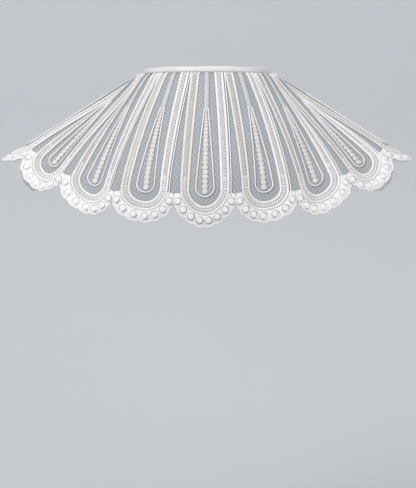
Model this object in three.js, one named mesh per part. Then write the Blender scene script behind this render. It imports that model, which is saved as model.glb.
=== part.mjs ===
import * as THREE from 'three';
import { mergeVertices } from 'three/addons/utils/BufferGeometryUtils.js';

// Detachable cape collar of embroidered net, in the form it takes on the shoulders.
// Sizes are millimetres. +Z is up, the wearer's back faces -Y and +X is the wearer's right.
// The origin is the middle of the neck opening, at the height of the neck band.

// Neck
const NECK_HALF_WIDTH = 75.6;
const NECK_HALF_DEPTH = 62;
const SEAM_HEIGHT = -2.4;
const SEAM_FALL = 3;
const BAND_HEIGHT = 6.4;
const BAND_INSIDE = 1.8;
const BAND_OUTSIDE = 0.8;
const BAND_STEPS = 38;
const CLASP = { width: 15, thickness: 1.2, height: 4.6, behindBand: 0.75 };

// One petal of the embroidery, drawn flat: x across it, y down it from the neck seam
const PETALS_PER_SIDE = 7;
const PETAL_WIDTH = 74;
const PETAL_NECK_WIDTH = 39.5;
const CLEFT_DROP = 175;
const BEND_DROP = 155.5;
const ROWS = [0, 39, 78, 117, BEND_DROP];
const WINDOW_TOP = 8.4;
const WINDOW_RADIUS = 17.4;
const BRAID_WIDTH = 10;
const SLOTS = 4;
const SLOT_STEP = THREE.MathUtils.degToRad(34);
const SLOT_HALF_ANGLE = THREE.MathUtils.degToRad(3.6);
const SLOT_START = 2.4;
const STEM_HALF_WIDTH = 2.4;
const LOOP_SPLIT = 52;
const LOOP_RADIUS = 11;
const LOOP_DROP = 152;
const LOOP_STEPS = 5;
const CORD_WIDTH = 1.8;
const DOTS = 12;
const DOTS_TOP = 65;
const DOTS_BOTTOM = 159.6;
const DOT_CROWDING = 0.9;
const DOT_GROWTH = 0.6;
const SMALL_DOT = 1.1;
const LARGE_DOT = 3.6;
const DOT_WAIST = 0.55;
const BORDER_INNER = 28.6;
const BORDER_TOP = 162;
const BORDER_SPREAD = 1.5;
const NOTCH_RADIUS = 39.8;
const LOBE_RADIUS = 42.2;
const LOBES = 7;
const BOSS_RADIUS = 2.7;
const BOSS_RING = 34.2;
const CLEFT_ANGLE = Math.asin((PETAL_WIDTH / 2) / LOBE_RADIUS);
const HEM_PLACES = [0, 0.42, 0.76];

// Thicknesses and the small space between laid pieces
const NET_THICKNESS = 1;
const SPACE = 0.65;
const HEM_INSET = 0.4;
const BRAID_RISE = 1.2;
const CORD_RISE = 1.6;
const SMALL_DOT_RISE = 1.5;
const LARGE_DOT_RISE = 2.2;
const BORDER_RISE = 1;
const BOSS_RISE = 1.6;
const SEAM_SPACE = 0.3;
const SEAM_CLEAR = 1.2;

// The drape, read at the middle and the edges of every petal from the middle of the back to
// the front edge: length of neck seam so far, place of the hem at the level of the clefts,
// outward swell of the fall, puff where the cloth springs from the neck, tuck that turns the
// scallop down under its own weight, and depth of the gathers near the neck.
const ROWS_PER_PETAL = 2;
const DRAPE = [
  { seam: 0, x: 0, y: -131, z: -165.5, swell: 9, puff: 0, tuck: 0.8, gather: 0.3 },
  { seam: 19.75, x: 37, y: -128, z: -163, swell: 9, puff: 0, tuck: 0.7, gather: 0.6 },
  { seam: 39.5, x: 71.2, y: -123, z: -160, swell: 9, puff: 1, tuck: 0.5, gather: 0.8 },
  { seam: 59.25, x: 111, y: -115, z: -160, swell: 8, puff: 1, tuck: 0.2, gather: 1 },
  { seam: 79.5, x: 137.5, y: -102, z: -151, swell: 7, puff: 2, tuck: 0, gather: 3 },
  { seam: 98.75, x: 174.9, y: -84, z: -137.7, swell: 4, puff: 4, tuck: 0, gather: 5.5 },
  { seam: 112.5, x: 194, y: -64, z: -125.3, swell: 2, puff: 6, tuck: 0, gather: 6 },
  { seam: 125.75, x: 220.4, y: -34, z: -106.5, swell: 0, puff: 8.5, tuck: 0, gather: 6 },
  { seam: 137.75, x: 228, y: 3, z: -96.5, swell: 0, puff: 8.5, tuck: 0, gather: 6 },
  { seam: 149.75, x: 220.5, y: 40, z: -107, swell: 0, puff: 8.5, tuck: 0, gather: 6 },
  { seam: 160.75, x: 198, y: 70, z: -124.5, swell: 2, puff: 6, tuck: 0.2, gather: 5.5 },
  { seam: 171.75, x: 176, y: 98, z: -127, swell: 4, puff: 4, tuck: 0.2, gather: 5 },
  { seam: 182.75, x: 153, y: 118, z: -132, swell: 6, puff: 2, tuck: 0.3, gather: 4.5 },
  { seam: 193.75, x: 122, y: 136, z: -137, swell: 8, puff: 1, tuck: 0.6, gather: 4 },
  { seam: 204.75, x: 90, y: 147, z: -145, swell: 9, puff: 1, tuck: 0.7, gather: 3 },
  { seam: 215.75, x: 55, y: 152, z: -149, swell: 9, puff: 0, tuck: 0.7, gather: 2 },
];

// Where the puff, the gathers and the tuck begin and end, as shares of the fall from seam to
// cleft, and how much further a tucked scallop hangs where the fall is flat
const PUFF_FULL = 0.05;
const TUCK_START = 0.75;
const HANG = 6.5;
const GATHER = { start: 0, full: 0.16, fade: 0.2, end: 0.85 };

const lerp = THREE.MathUtils.lerp;
const smoothstep = THREE.MathUtils.smoothstep;
const halfNeck = new THREE.EllipseCurve(0, 0, NECK_HALF_WIDTH, NECK_HALF_DEPTH, -Math.PI / 2, Math.PI / 2);
halfNeck.arcLengthDivisions = 720;
const halfNeckLength = halfNeck.getLength();

// Both sides of the table in one row of values, mirrored where the column asks for it.
function mirrored(column, sign) {
  const values = DRAPE.map((row) => row[column]);
  return [...values.slice(1).map((value) => sign * value).reverse(), ...values];
}

const columns = {
  seam: mirrored('seam', -1),
  x: mirrored('x', -1),
  y: mirrored('y', 1),
  z: mirrored('z', 1),
  swell: mirrored('swell', 1),
  puff: mirrored('puff', 1),
  tuck: mirrored('tuck', 1),
  gather: mirrored('gather', 1),
};

// Smooth reading of one column at petal coordinate u, where whole numbers are petal middles.
function read(column, u) {
  const values = columns[column];
  const last = values.length - 1;
  const place = THREE.MathUtils.clamp(u * ROWS_PER_PETAL + last / 2, 0, last);
  const i = Math.min(Math.floor(place), last - 1);
  const t = place - i;
  const p1 = values[i];
  const p2 = values[i + 1];
  const p0 = i > 0 ? values[i - 1] : 2 * p1 - p2;
  const p3 = i < last - 1 ? values[i + 2] : 2 * p2 - p1;
  const slope1 = (p2 - p0) / 2;
  const slope2 = (p3 - p1) / 2;
  const a = 2 * (p1 - p2) + slope1 + slope2;
  const b = 3 * (p2 - p1) - 2 * slope1 - slope2;
  return ((a * t + b) * t + slope1) * t + p1;
}

// Point of the neck seam, a signed length away from the middle of the back.
function seamPoint(length) {
  const flat = halfNeck.getPointAt(Math.min(Math.abs(length) / halfNeckLength, 1));
  const fall = SEAM_FALL * (1 + flat.y / NECK_HALF_DEPTH);
  return new THREE.Vector3(Math.sign(length) * flat.x, flat.y, SEAM_HEIGHT - fall);
}

// Share of the outward way that the cloth loses where its scallop hangs down.
function turnedDown(v) {
  return Math.max(v - TUCK_START, 0) ** 2 / (2 * (1 - TUCK_START));
}

// The draped surface without its thickness: u runs round the neck, v from seam to cleft.
function drape(u, v) {
  const top = seamPoint(read('seam', u));
  const hem = new THREE.Vector3(read('x', u), read('y', u), read('z', u));
  const fall = hem.clone().sub(top);
  const round = new THREE.Vector3(-fall.y, fall.x, 0).normalize();
  const outward = round.cross(fall).negate().normalize();
  const edge = 0.5 - 0.5 * Math.cos(2 * Math.PI * u);
  const gathers = smoothstep(v, GATHER.start, GATHER.full) * (1 - smoothstep(v, GATHER.fade, GATHER.end));
  const lift = 4 * v * (1 - v) * read('swell', u)
    + smoothstep(v, 0, PUFF_FULL) * (1 - v) * read('puff', u)
    - read('gather', u) * edge * gathers;
  const tuck = read('tuck', u);
  const out = (v - tuck * turnedDown(v)) / (1 - tuck * turnedDown(1));
  const hang = HANG * tuck * (1 + fall.z / fall.length()) ** 2;
  const down = (v + hang * turnedDown(v)) / (1 + hang * turnedDown(1));
  const reach = new THREE.Vector3(out, out, down);
  return top.add(fall.multiply(reach)).addScaledVector(outward, lift);
}

// The same surface, raised by an amount along its outward normal.
function raised(u, v, rise) {
  const step = 0.002;
  const across = drape(u + step, v).sub(drape(u - step, v));
  const down = drape(u, v + step).sub(drape(u, v - step));
  return drape(u, v).addScaledVector(down.cross(across).normalize(), rise);
}

function halfWidth(y) {
  return lerp(PETAL_NECK_WIDTH, PETAL_WIDTH, y / CLEFT_DROP) / 2;
}

function windowHalf(y) {
  return lerp(WINDOW_TOP, WINDOW_RADIUS, y / BEND_DROP);
}

// Places a point of one petal's flat drawing in the drawing of the whole collar.
function onCollar(petal, x, y) {
  const u = petal + x / (2 * halfWidth(y));
  return new THREE.Vector2(u * PETAL_WIDTH, -y);
}

function bendPoint(petal, radius, angle, middle = BEND_DROP) {
  return onCollar(petal, radius * Math.sin(angle), middle + radius * Math.cos(angle));
}

// A closed mesh with one vertex at each corner.
function closed(geometry) {
  geometry.deleteAttribute('normal');
  geometry.deleteAttribute('uv');
  return mergeVertices(geometry, 1e-5);
}

// Moves every vertex of a geometry to the place that a function gives for it.
function bent(geometry, place) {
  const position = geometry.attributes.position;
  const point = new THREE.Vector3();
  for (let i = 0; i < position.count; i += 1) {
    point.fromBufferAttribute(position, i);
    const target = place(point);
    position.setXYZ(i, target.x, target.y, target.z);
  }
  return closed(geometry);
}

// Lays flat cells that share corners on the draped surface, as one closed raised slab.
// Walls close the slab wherever a cell has no neighbour, so a missing cell is a hole.
function slab(cells, low, high) {
  const positions = [];
  const faces = [];
  const numbers = new Map();
  const edges = new Map();
  const corner = (flat) => {
    const key = `${flat.x.toFixed(3)} ${flat.y.toFixed(3)}`;
    if (!numbers.has(key)) {
      const u = flat.x / PETAL_WIDTH;
      const v = -flat.y / CLEFT_DROP;
      numbers.set(key, positions.length / 3);
      positions.push(...raised(u, v, low).toArray(), ...raised(u, v, high).toArray());
    }
    return numbers.get(key);
  };
  for (const cell of cells) {
    const under = cell.corners.map(corner);
    const upper = under.map((number) => number + 1);
    const top = cell.boss ? bossRing(cell, high, positions) : upper;
    for (let i = 1; i < under.length - 1; i += 1) {
      faces.push(under[0], under[i + 1], under[i], top[0], top[i], top[i + 1]);
    }
    under.forEach((start, i) => {
      const next = (i + 1) % under.length;
      const end = under[next];
      if (cell.boss) {
        faces.push(upper[i], upper[next], top[next], upper[i], top[next], top[i]);
      }
      if (edges.has(`${end} ${start}`)) {
        edges.delete(`${end} ${start}`);
      } else {
        edges.set(`${start} ${end}`, [start, end]);
      }
    });
  }
  for (const [start, end] of edges.values()) {
    faces.push(start, end, end + 1, start, end + 1, start + 1);
  }
  const geometry = new THREE.BufferGeometry();
  geometry.setAttribute('position', new THREE.Float32BufferAttribute(positions, 3));
  geometry.setIndex(faces);
  return geometry;
}

// Flat-topped boss in the middle of a cell, with one corner towards each corner of the cell.
function bossRing(cell, high, positions) {
  return cell.corners.map((flat) => {
    const toCorner = flat.clone().sub(cell.boss).setLength(BOSS_RADIUS);
    const place = cell.boss.clone().add(toCorner);
    positions.push(...raised(place.x / PETAL_WIDTH, -place.y / CLEFT_DROP, high + BOSS_RISE).toArray());
    return positions.length / 3 - 1;
  });
}

// Cells of a strip between two edges that have a point at each station.
function strip(left, right) {
  return left.slice(1).map((point, i) => ({ corners: [left[i], point, right[i + 1], right[i]] }));
}

// Fine net: six columns to a petal, on the edges of its window and of its braid.
function netGround() {
  const columns = [];
  for (let petal = -PETALS_PER_SIDE; petal <= PETALS_PER_SIDE; petal += 1) {
    for (let side = petal === -PETALS_PER_SIDE ? -3 : -2; side <= 3; side += 1) {
      columns.push(netColumn(petal, side));
    }
  }
  const cells = columns.slice(1).flatMap((column, i) => strip(columns[i], column));
  return slab(cells, -NET_THICKNESS, 0);
}

// One column of the net, from the seam down to the scalloped hem.
function netColumn(petal, side) {
  const order = Math.abs(side);
  const column = ROWS.map((y) => {
    const across = [0, windowHalf(y), windowHalf(y) + BRAID_WIDTH, halfWidth(y)][order];
    return onCollar(petal, Math.sign(side) * across, y);
  });
  const angle = CLEFT_ANGLE * Math.sign(side) * HEM_PLACES[Math.min(order, 2)];
  const atCleft = new THREE.Vector2((petal + Math.sign(side) / 2) * PETAL_WIDTH, -CLEFT_DROP);
  column.push(order === 3 ? atCleft : bendPoint(petal, NOTCH_RADIUS - HEM_INSET, angle));
  return column;
}

// Ladder braid: two legs and a round bend, with slots cut through the bend.
function braid(petal) {
  const legs = [-1, 1].map((side) => {
    const drops = ROWS.map((y) => Math.max(y, SEAM_CLEAR));
    const near = drops.map((y) => onCollar(petal, side * windowHalf(y), y));
    const far = drops.map((y) => onCollar(petal, side * (windowHalf(y) + BRAID_WIDTH), y));
    return side < 0 ? strip(far, near) : strip(near, far);
  });
  const rails = [0, SLOT_START, BRAID_WIDTH - SLOT_START, BRAID_WIDTH].map((out) => WINDOW_RADIUS + out);
  const angles = [-Math.PI / 2];
  for (let i = 0; i < SLOTS; i += 1) {
    const middle = (i - (SLOTS - 1) / 2) * SLOT_STEP;
    angles.push(middle - SLOT_HALF_ANGLE, middle + SLOT_HALF_ANGLE);
  }
  angles.push(Math.PI / 2);
  const bend = [];
  for (let i = 1; i < angles.length; i += 1) {
    const from = rails.map((radius) => bendPoint(petal, radius, angles[i - 1]));
    const to = rails.map((radius) => bendPoint(petal, radius, angles[i]));
    if (i === 1) {
      bend.push({ corners: [from[0], from[3], to[3], to[2], to[1], to[0]] });
    } else if (i === angles.length - 1) {
      bend.push({ corners: [to[3], to[0], from[0], from[1], from[2], from[3]] });
    } else {
      const cells = strip(from, to);
      bend.push(...(i % 2 === 0 ? [cells[0], cells[2]] : cells));
    }
  }
  return slab([...legs.flat(), ...bend], SPACE, SPACE + BRAID_RISE);
}

// Satin stem that parts into a drop-shaped loop of cord.
function stemLoop(petal) {
  const spread = (y) => lerp(STEM_HALF_WIDTH, LOOP_RADIUS, (y - LOOP_SPLIT) / (LOOP_DROP - LOOP_SPLIT));
  const stemRows = [SEAM_CLEAR, ROWS[1], LOOP_SPLIT];
  const stem = strip(
    stemRows.map((y) => onCollar(petal, -STEM_HALF_WIDTH, y)),
    stemRows.map((y) => onCollar(petal, STEM_HALF_WIDTH, y)),
  );
  const loopRows = [...ROWS.filter((y) => y > LOOP_SPLIT && y < LOOP_DROP), LOOP_DROP];
  const outer = loopRows.map((y) => onCollar(petal, -spread(y), y));
  const inner = loopRows.map((y) => onCollar(petal, CORD_WIDTH - spread(y), y));
  for (let i = 1; i < LOOP_STEPS; i += 1) {
    const angle = lerp(-Math.PI / 2, Math.PI / 2, i / LOOP_STEPS);
    outer.push(bendPoint(petal, LOOP_RADIUS, angle, LOOP_DROP));
    inner.push(bendPoint(petal, LOOP_RADIUS - CORD_WIDTH, angle, LOOP_DROP));
  }
  for (const y of [...loopRows].reverse()) {
    outer.push(onCollar(petal, spread(y), y));
    inner.push(onCollar(petal, spread(y) - CORD_WIDTH, y));
  }
  const left = onCollar(petal, -STEM_HALF_WIDTH, LOOP_SPLIT);
  const right = onCollar(petal, STEM_HALF_WIDTH, LOOP_SPLIT);
  const crotch = onCollar(petal, 0, LOOP_SPLIT + 2 * CORD_WIDTH);
  const fork = [
    { corners: [left, crotch, right] },
    { corners: [left, outer[0], inner[0], crotch] },
    { corners: [right, crotch, inner.at(-1), outer.at(-1)] },
  ];
  return slab([...stem, ...fork, ...strip(outer, inner)], SPACE, SPACE + CORD_RISE);
}

// Column of touching dots that grow towards the hem, each ridged along the middle.
function dotColumn(petal) {
  const rings = 2 * DOTS;
  const geometry = new THREE.CylinderGeometry(1, 1, 1, 3, rings);
  return bent(geometry, (p) => {
    const ring = Math.round((0.5 - p.y) * rings);
    const share = ring / rings;
    const y = lerp(DOTS_TOP, DOTS_BOTTOM, share ** DOT_CROWDING);
    const size = share ** DOT_GROWTH;
    const plump = ring % 2 === 1 ? 1 : DOT_WAIST;
    const fromAxis = Math.hypot(p.x, p.z);
    const height = plump * lerp(SMALL_DOT_RISE, LARGE_DOT_RISE, size) * Math.max(0, p.z);
    const side = fromAxis > 0.5 && p.z < 0.5 ? Math.sign(p.x) : 0;
    const across = side * plump * lerp(SMALL_DOT, LARGE_DOT, size);
    const capMiddle = fromAxis < 0.5 ? plump * SMALL_DOT_RISE / 3 : height;
    return raised(petal + across / (2 * halfWidth(y)), y / CLEFT_DROP, SPACE + capMiddle);
  });
}

// Scalloped border: one strip along the whole hem, with a boss in each lobe of its edge.
function scallopBorder() {
  const cells = [];
  for (let petal = -PETALS_PER_SIDE; petal <= PETALS_PER_SIDE; petal += 1) {
    const inside = [];
    const notches = [];
    for (let i = 0; i <= LOBES; i += 1) {
      const side = Math.sign(2 * i - LOBES);
      const edge = (petal + side / 2) * PETAL_WIDTH;
      const atCleft = i === 0 || i === LOBES;
      const angle = lerp(-1, 1, i / LOBES);
      inside.push(atCleft
        ? new THREE.Vector2(edge, -BORDER_TOP)
        : bendPoint(petal, BORDER_INNER, BORDER_SPREAD * angle));
      notches.push(atCleft
        ? new THREE.Vector2(edge, -CLEFT_DROP)
        : bendPoint(petal, NOTCH_RADIUS, CLEFT_ANGLE * angle));
    }
    for (let i = 0; i < LOBES; i += 1) {
      const angle = CLEFT_ANGLE * lerp(-1, 1, (i + 0.5) / LOBES);
      const lobe = bendPoint(petal, LOBE_RADIUS, angle);
      const boss = bendPoint(petal, BOSS_RING, angle);
      cells.push({ corners: [inside[i], notches[i], lobe, notches[i + 1], inside[i + 1]], boss });
    }
  }
  return slab(cells, SPACE, SPACE + BORDER_RISE);
}

// Narrow binding round the neck, open at the middle of the front.
function neckBand() {
  const geometry = new THREE.BoxGeometry(1, 1, 1, BAND_STEPS, 1, 1);
  const end = DRAPE[DRAPE.length - 1].seam;
  return bent(geometry, (p) => {
    const length = 2 * p.x * end;
    const seam = seamPoint(length);
    const slope = [seam.x / NECK_HALF_WIDTH ** 2, seam.y / NECK_HALF_DEPTH ** 2];
    const out = new THREE.Vector3(...slope, 0).normalize();
    seam.addScaledVector(out, p.z > 0 ? BAND_OUTSIDE : -BAND_INSIDE);
    seam.z += SEAM_SPACE + (p.y > 0 ? BAND_HEIGHT : 0);
    return seam;
  });
}

// Plain hook plate behind the two front ends of the band.
function frontClasp() {
  const geometry = new THREE.BoxGeometry(CLASP.width, CLASP.thickness, CLASP.height);
  const front = seamPoint(halfNeckLength);
  const middle = front.y - BAND_INSIDE - CLASP.behindBand - CLASP.thickness / 2;
  geometry.translate(0, middle, front.z + SEAM_SPACE + BAND_HEIGHT / 2);
  return closed(geometry);
}

const collar = new THREE.Group();
const finishes = {
  net: { color: 0xb9c0c6, roughness: 0.85, metalness: 0 },
  braid: { color: 0xf0ece8, roughness: 0.75, metalness: 0 },
  cord: { color: 0xfaf9f7, roughness: 0.5, metalness: 0 },
  band: { color: 0xf1eaea, roughness: 0.7, metalness: 0 },
  clasp: { color: 0xd8d8da, roughness: 0.35, metalness: 0.9 },
};

function addPiece(name, geometry, finish) {
  const mesh = new THREE.Mesh(geometry, new THREE.MeshStandardMaterial(finishes[finish]));
  mesh.name = name;
  collar.add(mesh);
}

addPiece('net_ground', netGround(), 'net');
addPiece('neck_band', neckBand(), 'band');
addPiece('scallop_border', scallopBorder(), 'braid');
addPiece('front_clasp', frontClasp(), 'clasp');
for (let petal = -PETALS_PER_SIDE; petal <= PETALS_PER_SIDE; petal += 1) {
  const place = String(petal + PETALS_PER_SIDE + 1).padStart(2, '0');
  addPiece(`braid_${place}`, braid(petal), 'braid');
  addPiece(`stem_loop_${place}`, stemLoop(petal), 'cord');
  addPiece(`dot_column_${place}`, dotColumn(petal), 'cord');
}

export default collar;
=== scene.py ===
"""Detachable cape collar of embroidered net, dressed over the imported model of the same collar.

The collar hangs in the form it takes on the shoulders: a plain binding round the neck, a sheet
of fine net, and on it fifteen petals of ladder braid, satin stems, cord loops and dots, with a
scalloped border of framed knobs along the hem. All sizes are metres.
"""

import math

import bmesh
import bpy
import numpy as np
from bpy.props import FloatProperty, FloatVectorProperty, IntProperty, PointerProperty
from bpy.types import Operator, Panel, PropertyGroup
from mathutils import Matrix, Vector


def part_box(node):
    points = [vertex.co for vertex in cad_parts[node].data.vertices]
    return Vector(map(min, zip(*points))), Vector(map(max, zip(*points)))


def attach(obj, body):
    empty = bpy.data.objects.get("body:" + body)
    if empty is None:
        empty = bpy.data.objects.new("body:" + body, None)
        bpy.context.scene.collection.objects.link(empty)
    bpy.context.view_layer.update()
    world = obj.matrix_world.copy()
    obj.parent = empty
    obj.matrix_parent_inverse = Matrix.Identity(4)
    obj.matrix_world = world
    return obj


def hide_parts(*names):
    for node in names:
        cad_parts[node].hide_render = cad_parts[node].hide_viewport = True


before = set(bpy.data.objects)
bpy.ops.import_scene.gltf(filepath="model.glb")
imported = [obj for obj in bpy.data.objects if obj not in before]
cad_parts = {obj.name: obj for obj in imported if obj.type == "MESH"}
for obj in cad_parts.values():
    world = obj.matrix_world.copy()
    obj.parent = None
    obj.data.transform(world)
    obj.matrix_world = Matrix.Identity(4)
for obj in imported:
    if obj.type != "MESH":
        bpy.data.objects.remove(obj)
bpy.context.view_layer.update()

bl_info = {
    "name": "Embroidered Net Cape Collar",
    "version": (1, 0, 0),
    "blender": (4, 5, 0),
    "location": "3D View > Sidebar > Collar",
    "description": "Makes the net, braids, cords, dots, border and binding of a cape collar",
    "category": "Object",
}

# The camera: a pixel of the photograph in metres, its width in pixels, and the distance
PIXEL = 0.0012
PHOTO_WIDTH = 416
CAMERA_DISTANCE = 16.0

# Name, place, size and power of every lamp
LAMPS = (
    ("key_light", (-1.3, -2.0, 1.5), 1.3, 47.0),
    ("fill_light", (1.9, -2.4, 0.3), 2.2, 26.0),
    ("top_light", (0.0, 0.3, 2.2), 1.6, 16.0),
)

# Neck
NECK_HALF_WIDTH = 0.0756
NECK_HALF_DEPTH = 0.062
SEAM_HEIGHT = -0.0024
SEAM_FALL = 0.003
BAND_HEIGHT = 0.0064
BAND_INSIDE = 0.0018
BAND_OUTSIDE = 0.0008
SEAM_SPACE = 0.0003

# Holes between the zigzag rungs of a braid, set aside by a share of the channel
HOLE_SIZE = (0.0016, 0.0012, 0.0004)
HOLE_ASIDE = -0.17

# Sewn work: tones of the thread, and places and sizes in the flat drawing of a petal
CREAM_TONE = 0.7
STEM_TONE = 0.4
DOT_TONE = 0.68
SLIT_TONE = 0.45
# Holes between rungs take the dark recess colour: the net showing through, with painted shade
HOLE_TONE = 0.1
LOOP_SPLIT = 0.052
DOT_SPACING = 1.6
LOWEST_DOT = 0.0041
BORDER_TURN = 1.42
RIM_INSET = 0.0009
RIM_WIDTH = 0.0019
RIM_RISE = 0.0015
STEM_HEIGHT = 0.0012
LOOP_HEIGHT = 0.0015
SIDE_CORD_HEIGHT = 0.0013
BORDER_SUNK = 0.0002
SIDE_CORD_SPACE = 0.0017
SIDE_CORD_END = 0.163

# Rounding of the clasp plate's corners and edges
CLASP_CORNER = 0.0012
CLASP_EDGE = 0.00022

# A stitch of the neck binding: length, width and height
BAND_STITCH = (0.0021, 0.0006, 0.0004)
STITCH_PITCH = 0.0031
STITCH_HEIGHT = 0.0014

# Petals whose left leg is filled with thread, so that no holes show in it
FILLED_PETALS = (-1,)

# One petal of the embroidery, drawn flat: x across it, y down it from the neck seam
PETALS_PER_SIDE = 7
PETALS = range(-PETALS_PER_SIDE, PETALS_PER_SIDE + 1)
PETAL_WIDTH = 0.074
PETAL_NECK_WIDTH = 0.0395
CLEFT_DROP = 0.175
BEND_DROP = 0.1555
WINDOW_TOP = 0.0084
WINDOW_RADIUS = 0.0174
BRAID_WIDTH = 0.0104
FIRST_RUNG = 0.0035
RUNG_WIDTH = 0.0011
BARS_ABOVE_BEND = 5
BAR_SHARE = 0.8
UNDER_RAILS = 0.0008
GROUND_RISE = 0.0003
LOOP_RADIUS = 0.011
LOOP_DROP = 0.152
DOTS_TOP = 0.055
DOT_DROPS = [0.055, 0.071, 0.085, 0.114, 0.155]
DOT_SHARES = [0.42, 0.72, 0.86, 0.95, 1.0]
NOTCH_RADIUS = 0.0404
LOBE_RADIUS = 0.0422
KNOB_RING = 0.0345
KNOB_PITCH = 0.375
SEAM_CLEAR = 0.0012
KNOB_RADIUS = 0.0043
# Shift of a knob toward the upper left, which bares its dark groove as a painted shadow crescent at
# the lower right
SHADOW_CRESCENT_SHIFT = 0.00045
CLEFT_ANGLE = math.asin(PETAL_WIDTH / 2 / LOBE_RADIUS)

# Cloth lies this far off the net sheet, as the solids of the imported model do
SPACE = 0.00065
NET_THICKNESS = 0.0004
NET_BEHIND_HEM = 0.0004

# The drape, read at the middle and the edges of every petal from the middle of the back to
# the front edge: length of neck seam so far, place of the hem at the level of the clefts,
# outward swell of the fall, puff where the cloth springs from the neck, tuck that turns the
# scallop down under its own weight, and depth of the gathers near the neck.
DRAPE = np.array([
    (0.0, 0.0, -0.131, -0.1655, 0.009, 0.0, 0.8, 0.0003),
    (0.01975, 0.037, -0.128, -0.163, 0.009, 0.0, 0.7, 0.0006),
    (0.0395, 0.0712, -0.123, -0.16, 0.009, 0.001, 0.5, 0.0008),
    (0.05925, 0.111, -0.115, -0.16, 0.008, 0.001, 0.2, 0.001),
    (0.0795, 0.1375, -0.102, -0.151, 0.007, 0.002, 0.0, 0.003),
    (0.09875, 0.1749, -0.084, -0.1377, 0.004, 0.004, 0.0, 0.0055),
    (0.1125, 0.194, -0.064, -0.1253, 0.002, 0.006, 0.0, 0.006),
    (0.12575, 0.2204, -0.034, -0.1065, 0.0, 0.0085, 0.0, 0.006),
    (0.13775, 0.228, 0.003, -0.0965, 0.0, 0.0085, 0.0, 0.006),
    (0.14975, 0.2205, 0.04, -0.107, 0.0, 0.0085, 0.0, 0.006),
    (0.16075, 0.198, 0.07, -0.1245, 0.002, 0.006, 0.2, 0.0055),
    (0.17175, 0.176, 0.098, -0.127, 0.004, 0.004, 0.2, 0.005),
    (0.18275, 0.153, 0.118, -0.132, 0.006, 0.002, 0.3, 0.0045),
    (0.19375, 0.122, 0.136, -0.137, 0.008, 0.001, 0.6, 0.004),
    (0.20475, 0.09, 0.147, -0.145, 0.009, 0.001, 0.7, 0.003),
    (0.21575, 0.055, 0.152, -0.149, 0.009, 0.0, 0.7, 0.002),
])
SEAM, X, Y, Z, SWELL, PUFF, TUCK, GATHER = range(8)
# The columns that change sign on the wearer's other side
TURNS_OVER = np.array([-1, -1, 1, 1, 1, 1, 1, 1])
ROWS_PER_PETAL = 2
PUFF_FULL = 0.05
TUCK_START = 0.75
HANG = 6.5
SWAY = -0.0029
GATHERS_FROM = 0.0
GATHERS_FULL = 0.16
GATHERS_FADE = 0.2
GATHERS_END = 0.85
BOTH_SIDES = np.concatenate([DRAPE[:0:-1] * TURNS_OVER, DRAPE])

NECK_ANGLES = np.linspace(-math.pi / 2, math.pi / 2, 721)
NECK_CURVE = np.stack(
    [NECK_HALF_WIDTH * np.cos(NECK_ANGLES), NECK_HALF_DEPTH * np.sin(NECK_ANGLES)], axis=1
)
NECK_LENGTHS = np.append(0, np.cumsum(np.linalg.norm(np.diff(NECK_CURVE, axis=0), axis=1)))


def read(column, u):
    """Smooth reading of one column at coordinate u, where whole numbers are petal middles."""
    values = BOTH_SIDES[:, column]
    last = len(values) - 1
    place = np.clip(u * ROWS_PER_PETAL + last / 2, 0, last)
    i = np.minimum(np.floor(place).astype(int), last - 1)
    t = place - i
    p1 = values[i]
    p2 = values[i + 1]
    p0 = np.where(i > 0, values[np.maximum(i - 1, 0)], 2 * p1 - p2)
    p3 = np.where(i < last - 1, values[np.minimum(i + 2, last)], 2 * p2 - p1)
    slope1 = (p2 - p0) / 2
    slope2 = (p3 - p1) / 2
    a = 2 * (p1 - p2) + slope1 + slope2
    b = 3 * (p2 - p1) - 2 * slope1 - slope2
    return ((a * t + b) * t + slope1) * t + p1


def ease(value, start, end):
    """Smooth step from 0 at start to 1 at end."""
    t = np.clip((value - start) / (end - start), 0, 1)
    return t * t * (3 - 2 * t)


def seam_point(length):
    """Point of the neck seam, a signed length away from the middle of the back."""
    angle = np.interp(np.abs(length), NECK_LENGTHS, NECK_ANGLES)
    x = np.sign(length) * NECK_HALF_WIDTH * np.cos(angle)
    y = NECK_HALF_DEPTH * np.sin(angle)
    z = SEAM_HEIGHT - SEAM_FALL * (1 + y / NECK_HALF_DEPTH)
    return np.stack([x, y, z], axis=-1)


def unit(vectors):
    """The same directions, one metre long."""
    return vectors / np.linalg.norm(vectors, axis=-1, keepdims=True)


def drape(u, v):
    """The draped surface: u runs round the neck and v from the seam at 0 to the cleft at 1."""
    top = seam_point(read(SEAM, u))
    hem = np.stack([read(X, u), read(Y, u), read(Z, u)], axis=-1)
    fall = hem - top
    around = unit(np.stack([-fall[..., 1], fall[..., 0], 0 * u], axis=-1))
    outward = -unit(np.cross(around, fall))
    edge = 0.5 - 0.5 * np.cos(2 * math.pi * u)
    gathers = ease(v, GATHERS_FROM, GATHERS_FULL) * (1 - ease(v, GATHERS_FADE, GATHERS_END))
    lift = 4 * v * (1 - v) * read(SWELL, u)
    lift = lift + ease(v, 0, PUFF_FULL) * (1 - v) * read(PUFF, u)
    lift = lift - read(GATHER, u) * edge * gathers
    tuck = read(TUCK, u)
    out = (v - tuck * turned_down(v)) / (1 - tuck * turned_down(1))
    flat = 1 + fall[..., 2] / np.linalg.norm(fall, axis=-1)
    hang = HANG * tuck * flat**2
    down = (v + hang * turned_down(v)) / (1 + hang * turned_down(1))
    reach = np.stack([out, out, down], axis=-1)
    sway = SWAY * v * (1 - ease(np.abs(u), 1.5, 3.6))
    aside = np.stack([sway, 0 * sway, 0 * sway], axis=-1)
    return top + fall * reach + outward * lift[..., None] + aside


def turned_down(v):
    """Share of the outward way that the cloth loses where its scallop hangs down."""
    return np.maximum(v - TUCK_START, 0) ** 2 / (2 * (1 - TUCK_START))


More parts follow.
